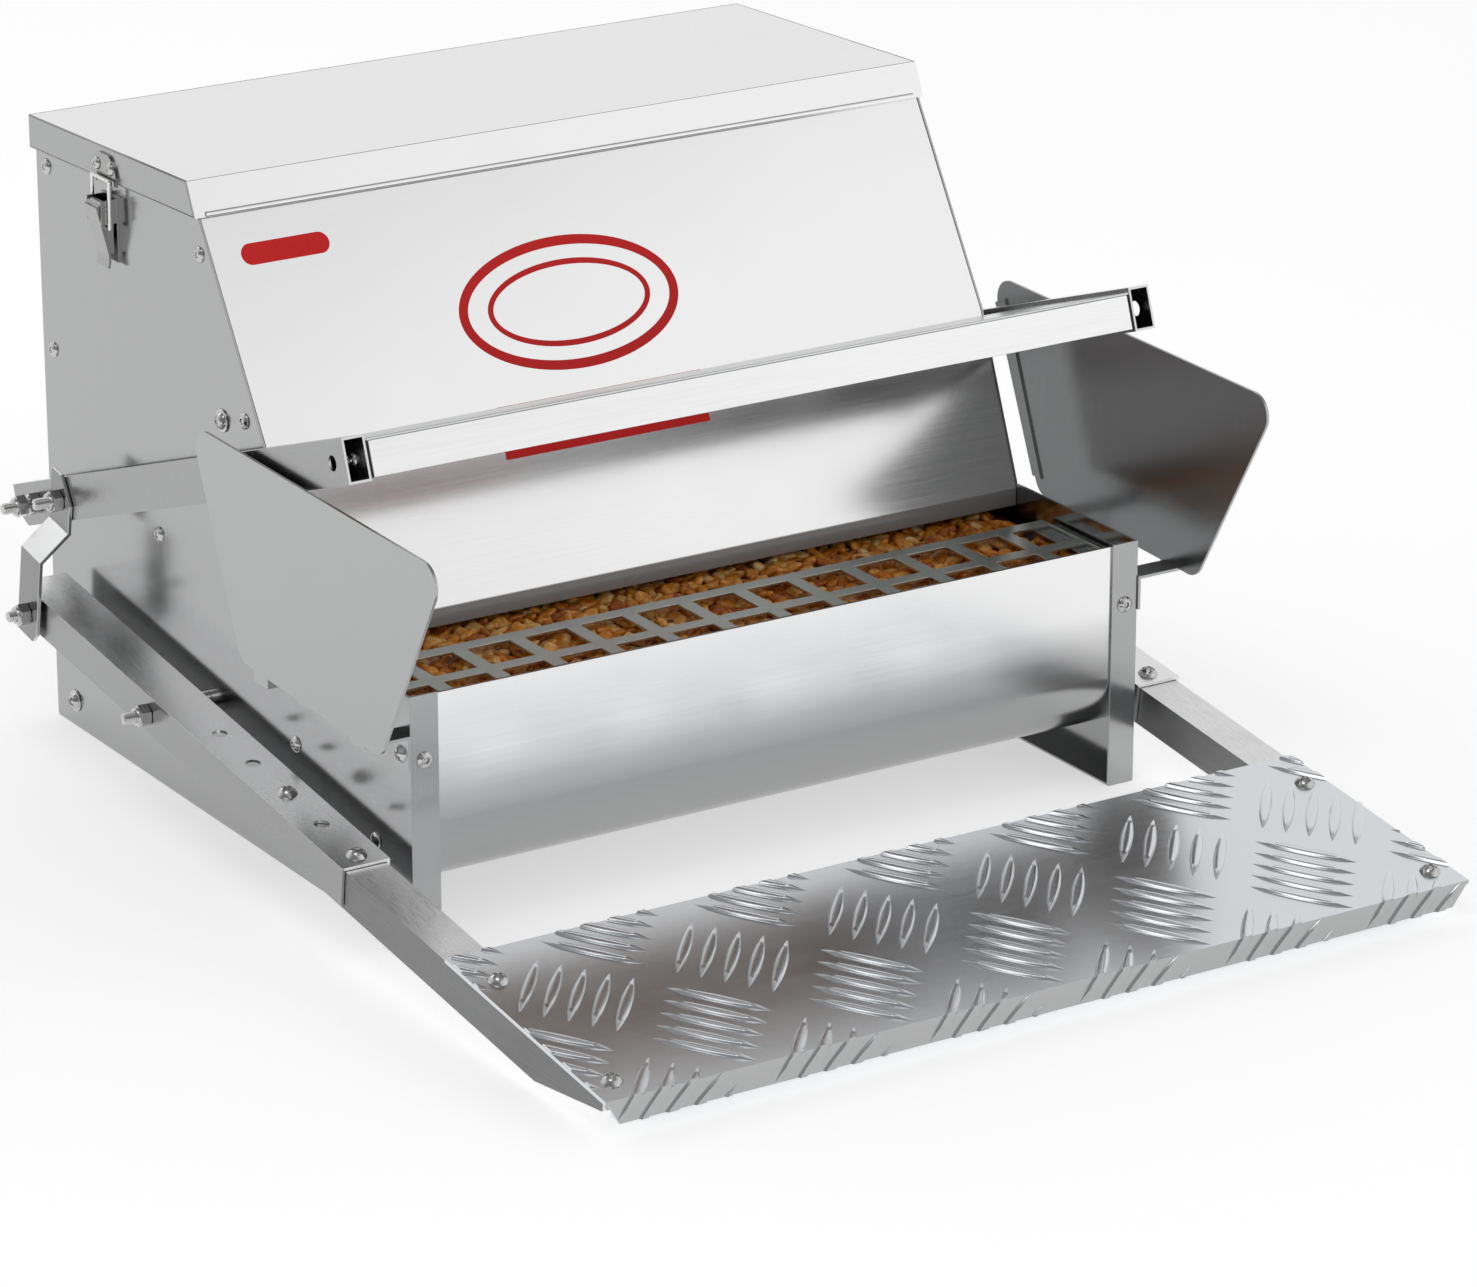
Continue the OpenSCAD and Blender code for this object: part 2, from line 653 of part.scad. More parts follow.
// Channel: an upside-down U that the tube slides into, with a row of adjusting holes
module treadle_channel() color(galvanised) in_treadle() difference() {
    length = channel_back + channel_front;
    translate([channel_in, -channel_front, channel_foot])
        cube([channel_out - channel_in, length, channel_top - channel_foot]);
    translate([channel_in + channel_t, -channel_front - 1, channel_foot - 1])
        cube([channel_out - channel_in - 2 * channel_t, length + 2,
              channel_top - channel_foot - channel_t + 1]);
    rod_x(channel_in - 1, channel_out + 1, [0, 0], bolt_r + run_fit);
    rod_x(tube_x, channel_out + 1, link_bottom_local, bolt_r + 0.01);
    for (a = channel_holes) translate([tube_x, -a, channel_top - channel_t - 1])
        cylinder(h = channel_t + 2, r = a == channel_screw_a[0] || a == channel_screw_a[1] ? 2.5 : 3.8);
}

module treadle_tube() color(brushed) in_treadle() difference() {
    wall = 1.5;
    along_x(tube_x - tube_w / 2, tube_x + tube_w / 2) polygon([
        [-tube_back, tube_top], [-tube_front, tube_top], [-tube_front, tube_top - 5],
        [-tube_front + 58, tube_top - tube_h], [-tube_back, tube_top - tube_h]
    ]);
    along_x(tube_x - tube_w / 2 + wall, tube_x + tube_w / 2 - wall) polygon([
        [-tube_back + 1, tube_top - wall], [-tube_front + wall, tube_top - wall],
        [-tube_front + wall, tube_top - 5 + wall / 2],
        [-tube_front + 58, tube_top - tube_h + wall], [-tube_back + 1, tube_top - tube_h + wall]
    ]);
    for (a = concat(channel_screw_a, plate_screw_a))
        translate([tube_x, -a, tube_top - wall - 1]) cylinder(h = wall + 2, r = 2.5);
}

// Tread plate: flat top, front edge folded down and back, ends of the fold mitred
module treadle_plate() color(bright) in_treadle() difference() {
    back = treadle_reach - plate_d;
    z = tube_top + plate_t;
    foot = z - plate_front_h;
    union() {
        along_x(-plate_half, plate_half)
            polygon([[-back, z], [-treadle_reach, z], [-treadle_reach, z - plate_t], [-back, z - plate_t]]);
        translate([0, -treadle_reach, 0]) rotate([90, 0, 0]) translate([0, 0, -plate_t])
            linear_extrude(plate_t) polygon([[-plate_half, z], [plate_half, z],
                [plate_half - 8, foot], [-plate_half + 8, foot]]);
        translate([-plate_half + 8, -treadle_reach, foot]) cube([2 * plate_half - 16, 8, plate_t]);
    }
    both_sides() for (a = plate_screw_a)
        translate([tube_x, -a, z - plate_t - 1]) cylinder(h = plate_t + 2, r = 2.5);
}

module channel_screws() color(zinc) in_treadle() both_sides() for (a = channel_screw_a)
    translate([tube_x, -a, channel_top]) pan_head(5.2, 3.6, 2.49, 9);

module plate_screws() color(zinc) in_treadle() both_sides() for (a = plate_screw_a)
    translate([tube_x, -a, tube_top + plate_t]) pan_head(5.2, 3.6, 2.49, 6);

// ---------------------------------------------------------------- nodes

mirror_left() side_panel();  // side_panel_left
side_panel();  // side_panel_right
rear_panel();
hopper_front();
label_plate();
trough_ramp();
feed_baffle();
trough_grille();
grille_rails();
feed();
body_rivets();
panel_screws();
panel_washers();
mirror_left() guard();  // guard_left
guard();  // guard_right
guard_screws();
lid();
mirror_left() latch_catch();  // latch_catch_left
latch_catch();  // latch_catch_right
catch_rivets();
mirror_left() latch_base();  // latch_base_left
latch_base();  // latch_base_right
latch_pins();
mirror_left() latch_lever();  // latch_lever_left
latch_lever();  // latch_lever_right
mirror_left() latch_bail();  // latch_bail_left
latch_bail();  // latch_bail_right
mirror_left() cover_arm();  // cover_arm_left
cover_arm();  // cover_arm_right
crossbar();
crossbar_end_caps();
crossbar_screws();
cover_plate();
cover_pivot_bolts();
cover_pivot_spacers();
cover_pivot_nuts();
mirror_left() link();  // link_left
link();  // link_right
link_top_bolts();
link_top_nuts();
link_bottom_bolts();
link_bottom_nuts();
link_spacers();
mirror_left() treadle_channel();  // treadle_channel_left
treadle_channel();  // treadle_channel_right
mirror_left() treadle_tube();  // treadle_tube_left
treadle_tube();  // treadle_tube_right
treadle_plate();
channel_screws();
plate_screws();
treadle_pivot_bolts();
treadle_pivot_spacers();
treadle_pivot_nuts();
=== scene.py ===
import math
import random
import bmesh
import bpy
from mathutils import Matrix, Vector

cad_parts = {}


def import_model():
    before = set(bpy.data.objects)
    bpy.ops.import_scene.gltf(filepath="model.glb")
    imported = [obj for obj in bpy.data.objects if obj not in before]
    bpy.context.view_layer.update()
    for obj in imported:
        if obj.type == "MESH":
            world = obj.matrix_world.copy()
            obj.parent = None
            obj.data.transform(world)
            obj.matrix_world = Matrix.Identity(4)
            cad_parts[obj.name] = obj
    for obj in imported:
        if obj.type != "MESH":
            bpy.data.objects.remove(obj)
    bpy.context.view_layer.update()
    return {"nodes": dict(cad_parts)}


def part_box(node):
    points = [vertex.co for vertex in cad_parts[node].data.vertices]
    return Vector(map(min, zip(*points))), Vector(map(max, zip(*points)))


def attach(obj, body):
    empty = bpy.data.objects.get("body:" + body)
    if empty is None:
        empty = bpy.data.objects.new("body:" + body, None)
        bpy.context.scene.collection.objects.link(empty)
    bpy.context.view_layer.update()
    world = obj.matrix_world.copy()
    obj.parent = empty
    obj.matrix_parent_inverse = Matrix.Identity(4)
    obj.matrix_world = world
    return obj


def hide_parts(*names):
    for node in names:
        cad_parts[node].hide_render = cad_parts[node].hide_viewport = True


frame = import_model()
NODES = frame["nodes"]
rng = random.Random(7)
MM = 0.001

# ------------------------------------------------------------------ layout shared with the CAD, in mm
# depth is counted from the hopper's back face, forwards is negative, as in the CAD source
BACK_Y = 301.0
HALF_W = 208.0
OPEN_ANGLE = math.radians(19.3)
TREADLE_PITCH = math.radians(7.0)
COVER_PIVOT = (-27.0, 127.0)
TREADLE_PIVOT = (-170.0, 61.0)
TUBE_X = HALF_W + 20.4
TREAD_TOP = 10.5
ROOF_SLOPE = 0.0378
LID_FRONT = -168.8


def at(x, y, z):
    """A point in mm, depth from the back face, as a row-frame point in metres."""
    return Vector((x * MM, (y + BACK_Y) * MM, z * MM))


def tilted(pivot, angle):
    """Frame of a tilted part: local x across, y back, z up, origin at its pivot."""
    return Matrix.Translation(at(0, *pivot)) @ Matrix.Rotation(angle, 4, "X")


IN_TREADLE = tilted(TREADLE_PIVOT, TREADLE_PITCH)
IN_COVER = tilted(COVER_PIVOT, -OPEN_ANGLE)


# ------------------------------------------------------------------ materials
GRAIN_SCALE = 900.0     # rolling grain of sheet metal
CLOUD_SCALE = 11.0      # patches of more or less polish
METAL_BUMP = 0.0004     # bump distances, in metres
PLASTIC_BUMP = 0.0002
KERNEL_BUMP = 0.0003


def new_material(name):
    mat = bpy.data.materials.new(name)
    mat.use_nodes = True
    nodes = mat.node_tree.nodes
    return mat, nodes, mat.node_tree.links, nodes["Principled BSDF"]


def coords(nodes, links, scale=(1, 1, 1), turn=(0, 0, 0)):
    where = nodes.new("ShaderNodeTexCoord")
    mapping = nodes.new("ShaderNodeMapping")
    mapping.inputs["Scale"].default_value = scale
    mapping.inputs["Rotation"].default_value = turn
    links.new(where.outputs["Object"], mapping.inputs["Vector"])
    return mapping.outputs["Vector"]


def noise(nodes, links, vector, scale, detail=3.0, roughness=0.55):
    tex = nodes.new("ShaderNodeTexNoise")
    tex.inputs["Scale"].default_value = scale
    tex.inputs["Detail"].default_value = detail
    tex.inputs["Roughness"].default_value = roughness
    links.new(vector, tex.inputs["Vector"])
    return tex.outputs["Fac"]


def remap(nodes, links, value, low, high, from_low=0.3, from_high=0.7):
    node = nodes.new("ShaderNodeMapRange")
    node.inputs["From Min"].default_value = from_low
    node.inputs["From Max"].default_value = from_high
    node.inputs["To Min"].default_value = low
    node.inputs["To Max"].default_value = high
    links.new(value, node.inputs["Value"])
    return node.outputs["Result"]


def total(nodes, links, first, second):
    node = nodes.new("ShaderNodeMath")
    node.operation = "ADD"
    links.new(first, node.inputs[0])
    links.new(second, node.inputs[1])
    return node.outputs["Value"]


def two_colours(nodes, links, first, second, factor):
    """Colour between two fixed ones."""
    mix = nodes.new("ShaderNodeMix")
    mix.data_type = "RGBA"
    mix.inputs["A"].default_value = [*first, 1]
    mix.inputs["B"].default_value = [*second, 1]
    links.new(factor, mix.inputs["Factor"])
    return mix.outputs["Result"]


def shaded(colour, low, high):
    """A darker and a lighter version of a colour."""
    return [c * low for c in colour], [min(1, c * high) for c in colour]


def bumpy(nodes, links, bsdf, height, strength, distance):
    node = nodes.new("ShaderNodeBump")
    node.inputs["Strength"].default_value = strength
    node.inputs["Distance"].default_value = distance
    links.new(height, node.inputs["Height"])
    links.new(node.outputs["Normal"], bsdf.inputs["Normal"])


def metal(name, colour, rough, grain=(1, 1, 1), turn=(0, 0, 0), spread=0.05, bump=0.02, tone=0.04):
    """Sheet metal: fine rolling or brushing grain along one direction, and cloudy roughness."""
    mat, nodes, links, bsdf = new_material(name)
    bsdf.inputs["Metallic"].default_value = 1.0
    fine = noise(nodes, links, coords(nodes, links, grain, turn), GRAIN_SCALE, 4.0, 0.6)
    cloud = noise(nodes, links, coords(nodes, links), CLOUD_SCALE, 4.0, 0.6)
    dark, light = shaded(colour, 1 - tone, 1 + tone)
    blend = two_colours(nodes, links, dark, light, remap(nodes, links, fine, 0.0, 1.0))
    links.new(blend, bsdf.inputs["Base Color"])
    patchy = remap(nodes, links, cloud, rough - spread, rough + spread)
    roughness = total(nodes, links, patchy, remap(nodes, links, fine, -spread, spread))
    links.new(roughness, bsdf.inputs["Roughness"])
    bumpy(nodes, links, bsdf, fine, bump, METAL_BUMP)
    return mat


# stretch of the grain along one axis
ACROSS = (0.02, 1, 1)
ALONG = (1, 0.02, 1)
UPWARD = (1, 1, 0.03)
SATIN = {"spread": 0.02, "bump": 0.006, "tone": 0.012}
TUBE_TURN = (-TREADLE_PITCH, 0, 0)
ARM_TURN = (OPEN_ANGLE, 0, 0)
# heights in metres where a sheet's tone changes: the front sheet's dark lip, and the trough's painted shade
# where it curves under
FRONT_LIP_Z = 0.1262
TROUGH_SHADE_Z = (0.094, 0.062)

# The side and guard sheets are darker copies of the bright sheet of the front, lid and trough: painted
# shade on the side faces, painted light on the front.
MATERIALS = {
    "sheet_side_shaded": metal("sheet_side_shaded", (0.405, 0.407, 0.411), 0.17, UPWARD, **SATIN),
    "sheet_guard_shaded": metal("sheet_guard_shaded", (0.43, 0.433, 0.436), 0.24, UPWARD, **SATIN),
    "grille": metal("grille", (0.62, 0.65, 0.60), 0.30, ACROSS, **SATIN),
    "bar": metal("bar", (0.90, 0.90, 0.904), 0.20, ACROSS, spread=0.03, bump=0.012, tone=0.02),
    "cover": metal("cover", (0.64, 0.645, 0.65), 0.16, ACROSS, **SATIN),
    "tread": metal("tread", (0.74, 0.757, 0.778), 0.22, ACROSS, spread=0.02, bump=0.008, tone=0.015),
    # The dark fold tone is painted shade, for the shadow lines along the lid's folds and skirt feet.
    "fold": metal("fold", (0.20, 0.20, 0.202), 0.22, **SATIN),
    "zinc": metal("zinc", (0.56, 0.56, 0.555), 0.13, spread=0.05, bump=0.03, tone=0.06),
    "latch": metal("latch", (0.36, 0.36, 0.357), 0.15, UPWARD, spread=0.04, bump=0.03, tone=0.05),
    "bail": metal("bail", (0.72, 0.72, 0.715), 0.12, spread=0.03, bump=0.02, tone=0.04),
}


def second_tone(mat, tone, factor):
    """Blends the metal's colour towards a second tone where factor is 1; it paints the shade on side faces,
    the tread's flange and the trough's curve, and the front sheet's dark lip.
    """
    nodes, links = mat.node_tree.nodes, mat.node_tree.links
    socket = nodes["Principled BSDF"].inputs["Base Color"]
    mix = nodes.new("ShaderNodeMix")
    mix.data_type = "RGBA"
    links.new(socket.links[0].from_socket, mix.inputs["A"])
    mix.inputs["B"].default_value = (tone, tone * 1.004, tone * 1.012, 1)
    links.new(factor, mix.inputs["Factor"])
    links.new(mix.outputs["Result"], socket)
    return mat


def facing_shade_mask(mat, axis="X"):
    """1 on the faces that look along the axis, which get painted shade, and 0 on the rest."""
    nodes, links = mat.node_tree.nodes, mat.node_tree.links
    where = nodes.new("ShaderNodeTexCoord")
    split = nodes.new("ShaderNodeSeparateXYZ")
    links.new(where.outputs["Normal"], split.inputs["Vector"])
    side = nodes.new("ShaderNodeMath")
    side.operation = "ABSOLUTE"
    links.new(split.outputs[axis], side.inputs[0])
    return remap(nodes, links, side.outputs["Value"], 0.0, 1.0, 0.75, 0.97)


def height_band(mat, low, high):
    """0 below low and 1 above high, in metres above the ground."""
    nodes, links = mat.node_tree.nodes, mat.node_tree.links
    where = nodes.new("ShaderNodeTexCoord")
    split = nodes.new("ShaderNodeSeparateXYZ")
    links.new(where.outputs["Object"], split.inputs["Vector"])
    return remap(nodes, links, split.outputs["Z"], 0.0, 1.0, low, high)


# Metal with painted shade: the faces that look along x get the darker side tone, so the sides read shaded
# and the top lit.
def folded(name, side_shade_tone, *args, **kwargs):
    mat = metal(name, *args, **kwargs)
    return second_tone(mat, side_shade_tone, facing_shade_mask(mat))


def front_sheet():
    """The bright front sheet, a lit copy of the side sheet; below the lip height it is a dark grey that is
    not metallic.
    """
    mat = metal("sheet_front", (0.88, 0.88, 0.882), 0.20, ACROSS, **SATIN)
    below, above = FRONT_LIP_Z - 0.0004, FRONT_LIP_Z + 0.0004
    bsdf = mat.node_tree.nodes["Principled BSDF"]
    mat.node_tree.links.new(height_band(mat, below, above), bsdf.inputs["Metallic"])
    return second_tone(mat, 0.30, height_band(mat, above, below))


def trough_sheet():
    """Bright along the lip and darker where the sheet curves under: painted shade, where the curve faces
    the shaded floor.
    """
    mat = metal("sheet_trough", (0.88, 0.88, 0.882), 0.20, ACROSS, **SATIN)
    return second_tone(mat, 0.38, height_band(mat, *TROUGH_SHADE_Z))


# Painted shade: the tread's faces that look forwards or backwards, its front flange and the bars' ends, get
# a darker tone.
second_tone(MATERIALS["tread"], 0.46, facing_shade_mask(MATERIALS["tread"], "Y"))
# The lid, cover arms, treadle tubes, channels and links get painted shade: their side faces are darker than
# their tops.
MATERIALS["sheet_lid"] = folded("sheet_lid", 0.39, (0.88, 0.88, 0.882), 0.24, ACROSS, **SATIN)
MATERIALS["sheet_front"] = front_sheet()
MATERIALS["sheet_trough"] = trough_sheet()
MATERIALS["arm"] = folded("arm", 0.355, (0.72, 0.722, 0.726), 0.26, ALONG, ARM_TURN, 0.04, 0.02, 0.03)
MATERIALS["tube"] = folded("tube", 0.22, (0.86, 0.86, 0.865), 0.36, ALONG, TUBE_TURN, 0.09, 0.16, 0.16)
MATERIALS["channel"] = folded("channel", 0.345, (0.82, 0.822, 0.826), 0.24, ALONG, TUBE_TURN,
                              0.03, 0.01, 0.02)
MATERIALS["link"] = folded("link", 0.27, (0.74, 0.742, 0.746), 0.2, UPWARD,
                           spread=0.03, bump=0.015, tone=0.02)


def plastic(name, colour, rough, bump):
    """Moulded or painted surface with a fine grain."""
    mat, nodes, links, bsdf = new_material(name)
    grain = noise(nodes, links, coords(nodes, links), 1800.0, 3.0)
    dark, light = shaded(colour, 0.88, 1.1)
    blend = two_colours(nodes, links, dark, light, remap(nodes, links, grain, 0.0, 1.0))
    links.new(blend, bsdf.inputs["Base Color"])
    links.new(remap(nodes, links, grain, rough - 0.05, rough + 0.05), bsdf.inputs["Roughness"])
    bsdf.inputs["Specular IOR Level"].default_value = 0.25
    bumpy(nodes, links, bsdf, grain, bump, PLASTIC_BUMP)
    return mat


MATERIALS["black"] = plastic("black", (0.018, 0.018, 0.018), 0.5, 0.2)
MATERIALS["red"] = plastic("red", (0.72, 0.012, 0.012), 0.45, 0.05)


def grain_material(name, deep):
    """Dry maize: each kernel has its own tone; the pale germ end fades into an amber body."""
    mat, nodes, links, bsdf = new_material(name)
    tone = nodes.new("ShaderNodeAttribute")
    tone.attribute_name = "tone"
    ramp = nodes.new("ShaderNodeValToRGB")
    ramp.color_ramp.elements[0].color = (0.40 * deep, 0.085 * deep, 0.008, 1)
    ramp.color_ramp.elements[1].color = (1.0 * deep, 0.78 * deep, 0.36 * deep, 1)
    middle = ramp.color_ramp.elements.new(0.48)
    middle.color = (0.88 * deep, 0.34 * deep, 0.028, 1)
    spots = noise(nodes, links, coords(nodes, links), 420.0, 3.0)
    spotted = total(nodes, links, tone.outputs["Fac"], remap(nodes, links, spots, -0.2, 0.2))
    links.new(spotted, ramp.inputs["Fac"])
    links.new(ramp.outputs["Color"], bsdf.inputs["Base Color"])
    links.new(remap(nodes, links, spots, 0.16, 0.30), bsdf.inputs["Roughness"])
    bsdf.inputs["Subsurface Weight"].default_value = 0.08
    bsdf.inputs["Subsurface Radius"].default_value = (0.002, 0.0008, 0.0003)
    bumpy(nodes, links, bsdf, spots, 0.15, KERNEL_BUMP)
    return mat


MATERIALS["kernel"] = grain_material("kernel", 1.0)
# The feed bed under the kernels is the maize colour darkened: painted shade in the gaps between kernels.
MATERIALS["feed_bed_shaded"] = grain_material("feed_bed_shaded", 0.22)

NODE_LOOKS = {
    "side_panel_left": "sheet_side_shaded", "side_panel_right": "sheet_side_shaded", "rear_panel": "sheet_side_shaded",
    "hopper_front": "sheet_front", "label_plate": "red", "trough_ramp": "sheet_trough",
    "feed_baffle": "sheet_trough", "trough_grille": "grille", "grille_rails": "sheet_side_shaded",
    "feed": "feed_bed_shaded", "guard_left": "sheet_guard_shaded", "guard_right": "sheet_guard_shaded",
    "lid": "sheet_lid", "cover_arm_left": "arm", "cover_arm_right": "arm", "crossbar": "bar",
    "crossbar_end_caps": "black", "cover_plate": "cover", "latch_bail_left": "bail",
    "latch_bail_right": "bail", "link_left": "link", "link_right": "link",
    "treadle_channel_left": "channel", "treadle_channel_right": "channel",
    "treadle_tube_left": "tube", "treadle_tube_right": "tube", "treadle_plate": "tread",
}
ROUND_NODES = ("feed", "latch_bail_left", "latch_bail_right")
# radius of the sheet edges in mm, where it isn't the usual one
USUAL_EDGE_R = 0.3
EDGE_R = {"lid": 1.0, "treadle_plate": 0.8, "treadle_channel_left": 0.6, "treadle_channel_right": 0.6,
          "treadle_tube_left": 0.8, "treadle_tube_right": 0.8, "crossbar": 0.5,
          "cover_arm_left": 0.6, "cover_arm_right": 0.6}


def soften_edges(node, radius):
    """Joins the flat faces of a sheet-metal node and rounds its sharp edges a little."""
    weld = node.modifiers.new("weld", "WELD")
    weld.merge_threshold = 0.000002
    flat = node.modifiers.new("flat", "DECIMATE")
    flat.decimate_type = "DISSOLVE"
    flat.angle_limit = math.radians(0.6)
    bevel = node.modifiers.new("bevel", "BEVEL")
    bevel.width = radius * MM
    bevel.segments = 2
    bevel.limit_method = "ANGLE"
    bevel.angle_limit = math.radians(35)
    weighted = node.modifiers.new("weighted", "WEIGHTED_NORMAL")
    weighted.weight = 60


for name, node in NODES.items():
    look = NODE_LOOKS.get(name) or ("latch" if name.startswith("latch_") else "zinc")
    node.data.materials.clear()
    node.data.materials.append(MATERIALS[look])
    if name not in ROUND_NODES:
        soften_edges(node, EDGE_R.get(name, USUAL_EDGE_R))


# ------------------------------------------------------------------ mesh helpers
def in_scene(name, data):
    obj = bpy.data.objects.new(name, data)
    bpy.context.scene.collection.objects.link(obj)
    return obj


def piece(mesh, look, body):
    """Puts a finished mesh in the scene as a piece that rides on a body."""
    obj = in_scene(mesh.name, mesh)
    mesh.materials.append(MATERIALS[look])
    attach(obj, body)
    return obj


def mesh_object(name, verts, faces, look, body, smooth=True):
    mesh = bpy.data.meshes.new(name)
    mesh.from_pydata([tuple(v) for v in verts], [], faces)
    mesh.validate()
    mesh.update()
    if smooth:
        mesh.shade_smooth()
    return piece(mesh, look, body)


def sharpen(obj, degrees=38):
    """Smooth shading that breaks at the sharp edges."""
    obj.data.shade_smooth()
    split = obj.modifiers.new("edges", "EDGE_SPLIT")
    split.split_angle = math.radians(degrees)


def fixings(node, build, body, degrees=38):
    """Puts detailed fixings in the place of a CAD node."""
    obj = mesh_object("detailed_" + node, build.verts, build.faces, "zinc", body)
    sharpen(obj, degrees)
    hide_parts(node)


class Builder:
    """Collects the rings of several lathe-like solids into one mesh."""

    def __init__(self):
        self.verts, self.faces = [], []

    def rings(self, rings, matrix, close=True):
        """Joins consecutive rings, which are lists of equal length of local points in metres."""
        start, n = len(self.verts), len(rings[0])
        for ring in rings:
            self.verts += [matrix @ Vector(p) for p in ring]
        for i in range(len(rings) - 1):
            for k in range(n):
                a, b = start + i * n + k, start + i * n + (k + 1) % n
                self.faces.append((a, b, b + n, a + n))
        if close:
            self.faces.append(tuple(range(start + n - 1, start - 1, -1)))
            last = start + (len(rings) - 1) * n
            self.faces.append(tuple(range(last, last + n)))


def circle_ring(radius, z, n=48):
    """Ring at a height; the radius in mm is a number or a function of the angle."""
    points = []
    for k in range(n):
        angle = 2 * math.pi * k / n
        r = radius(angle) if callable(radius) else radius
        points.append((r * math.cos(angle) * MM, r * math.sin(angle) * MM, z * MM))
    return points


def hexagon(flat):
    """Radius of a hexagon with that half width across flats, at an angle."""
    return lambda angle: flat / math.cos((angle + math.pi / 6) % (math.pi / 3) - math.pi / 6)


def capped(radius, limit):
    return lambda angle: min(radius(angle), limit)


# radius in mm and part of the collar's height
LOCK_COLLAR = ((4.7, 0.55), (4.4, 0.9), (4.0, 1.0), (3.5, 0.9))


def nut_rings(flat, length, bore=3.05, collar=None, n=48):
    """Hexagon nut with both rims chamfered, an optional lock collar and an open bore."""
    hexa, rim = hexagon(flat), flat * 1.03
    rings = [circle_ring(bore, 0.0, n), circle_ring(capped(hexa, rim), 0.0, n)]
    low, high = [], []
    for k in range(n):
        angle = 2 * math.pi * k / n
        r = hexa(angle)
        drop = max(0.0, 0.5 * (r - rim))
        point = (r * math.cos(angle) * MM, r * math.sin(angle) * MM)
        low.append((*point, drop * MM))
        high.append((*point, (length - drop) * MM))
    rings += [low, high, circle_ring(capped(hexa, rim), length, n)]
    if not collar:
        return rings + [circle_ring(bore, length, n)]
    rings.append(circle_ring(4.7, length + 0.05, n))
    for radius, part in LOCK_COLLAR + ((bore, 0.75),):
        rings.append(circle_ring(radius, length + collar * part, n))
    return rings


def add_nut(build, flat, length, matrix, collar=None):
    rings = nut_rings(flat, length, collar=collar)
    build.rings(rings + [rings[0]], matrix, close=False)


def add_hexagon_head(build, flat, length, matrix):
    rings = nut_rings(flat, length)[1:5]
    build.rings(rings, matrix)


def add_thread(build, radius, z0, z1, matrix, pitch=1.0, depth=0.42, n=32, per_turn=6):
    """Rod from z0 to z1 whose surface is one helical thread, with a chamfered end at z1."""
    steps = max(2, int((z1 - z0) / pitch * per_turn))
    rings = [circle_ring(radius - depth, z0, n)]
    for i in range(steps + 1):
        z = z0 + (z1 - z0) * i / steps
        chamfer = 0.5 * (1 - min(1.0, (z1 - z) / (0.8 * pitch)))
        ring = []
        for k in range(n):
            angle = 2 * math.pi * k / n
            wave = abs(2 * ((z / pitch - k / n) % 1.0) - 1)
            r = radius - depth * (1 - min(1.0, 1.25 * wave)) - chamfer
            ring.append((r * math.cos(angle) * MM, r * math.sin(angle) * MM, z * MM))
        rings.append(ring)
    build.rings(rings, matrix)


def turned(direction):
    """Rotation that brings local z along a direction."""
    return Vector(direction).to_track_quat("Z", "Y").to_matrix().to_4x4()


def facing(x, y, z, direction, base=None):
    """Matrix whose local z points along direction from a point in mm."""
    if base is None:
        return Matrix.Translation(at(x, y, z)) @ turned(direction)
    return base @ Matrix.Translation(Vector((x, y, z)) * MM) @ turned(direction)


def cross_head(build, radius, height, matrix, shank, length, spin=0.0):
    """Domed screw head with a cross recess, and its shank below; the grid's lines run along the recess."""
    ball = (radius ** 2 + height ** 2) / (2 * height)
    slot, flare, reach, depth = 0.13, 0.19, 0.56, 0.55 * height
    lines = sorted({-1, -0.88, -0.72, -0.56, -0.40, -0.28, 0.28, 0.40, 0.56, 0.72, 0.88, 1,
                    slot, -slot, flare, -flare, 0.0, reach + 0.06, -reach - 0.06})
    n = len(lines)
    start = len(build.verts)
    turn = Matrix.Rotation(spin, 4, "Z")
    for v in lines:
        for u in lines:
            x, y = u * math.sqrt(1 - v * v / 2), v * math.sqrt(1 - u * u / 2)
            rho = min(1.0, math.hypot(x, y))
            z = math.sqrt(max(0.0, ball ** 2 - (rho * radius) ** 2)) - (ball - height)
            inside = (abs(u) <= slot + 1e-6 and abs(v) <= reach + 1e-6) or (
                abs(v) <= slot + 1e-6 and abs(u) <= reach + 1e-6)
            if inside:
                z -= depth * (1.0 - 0.55 * max(abs(u), abs(v)) / reach)
            build.verts.append(matrix @ turn @ (Vector((x * radius, y * radius, max(z, 0.0))) * MM))
    for j in range(n - 1):
        for i in range(n - 1):
            a = start + j * n + i
            build.faces.append((a, a + 1, a + n + 1, a + n))
    rim = [start + i for i in range(n)] + [start + j * n + n - 1 for j in range(1, n)]
    rim += [start + (n - 1) * n + i for i in range(n - 2, -1, -1)]
    rim += [start + j * n for j in range(n - 2, 0, -1)]
    build.faces.append(tuple(reversed(rim)))
    build.rings([circle_ring(shank, -length, 24), circle_ring(shank, -0.02, 24)], matrix)


# ------------------------------------------------------------------ bolts, nuts and screws
def bolt_set(node, body, at_yz, head_x, head_flat, head_len, end_x, thread_len):
    """Replaces a pair of plain CAD bolts: hexagon head inside, smooth shank, threaded end outside."""
    build = Builder()
    for side in (-1, 1):
        inner = facing(side * head_x, *at_yz, (side, 0, 0))
        add_hexagon_head(build, head_flat, head_len, inner)
        length = end_x - head_x
        build.rings([circle_ring(2.95, head_len - 0.05), circle_ring(2.95, length - thread_len)], inner)
        add_thread(build, 2.98, length - thread_len - 0.02, length, inner)
    fixings(node, build, body)


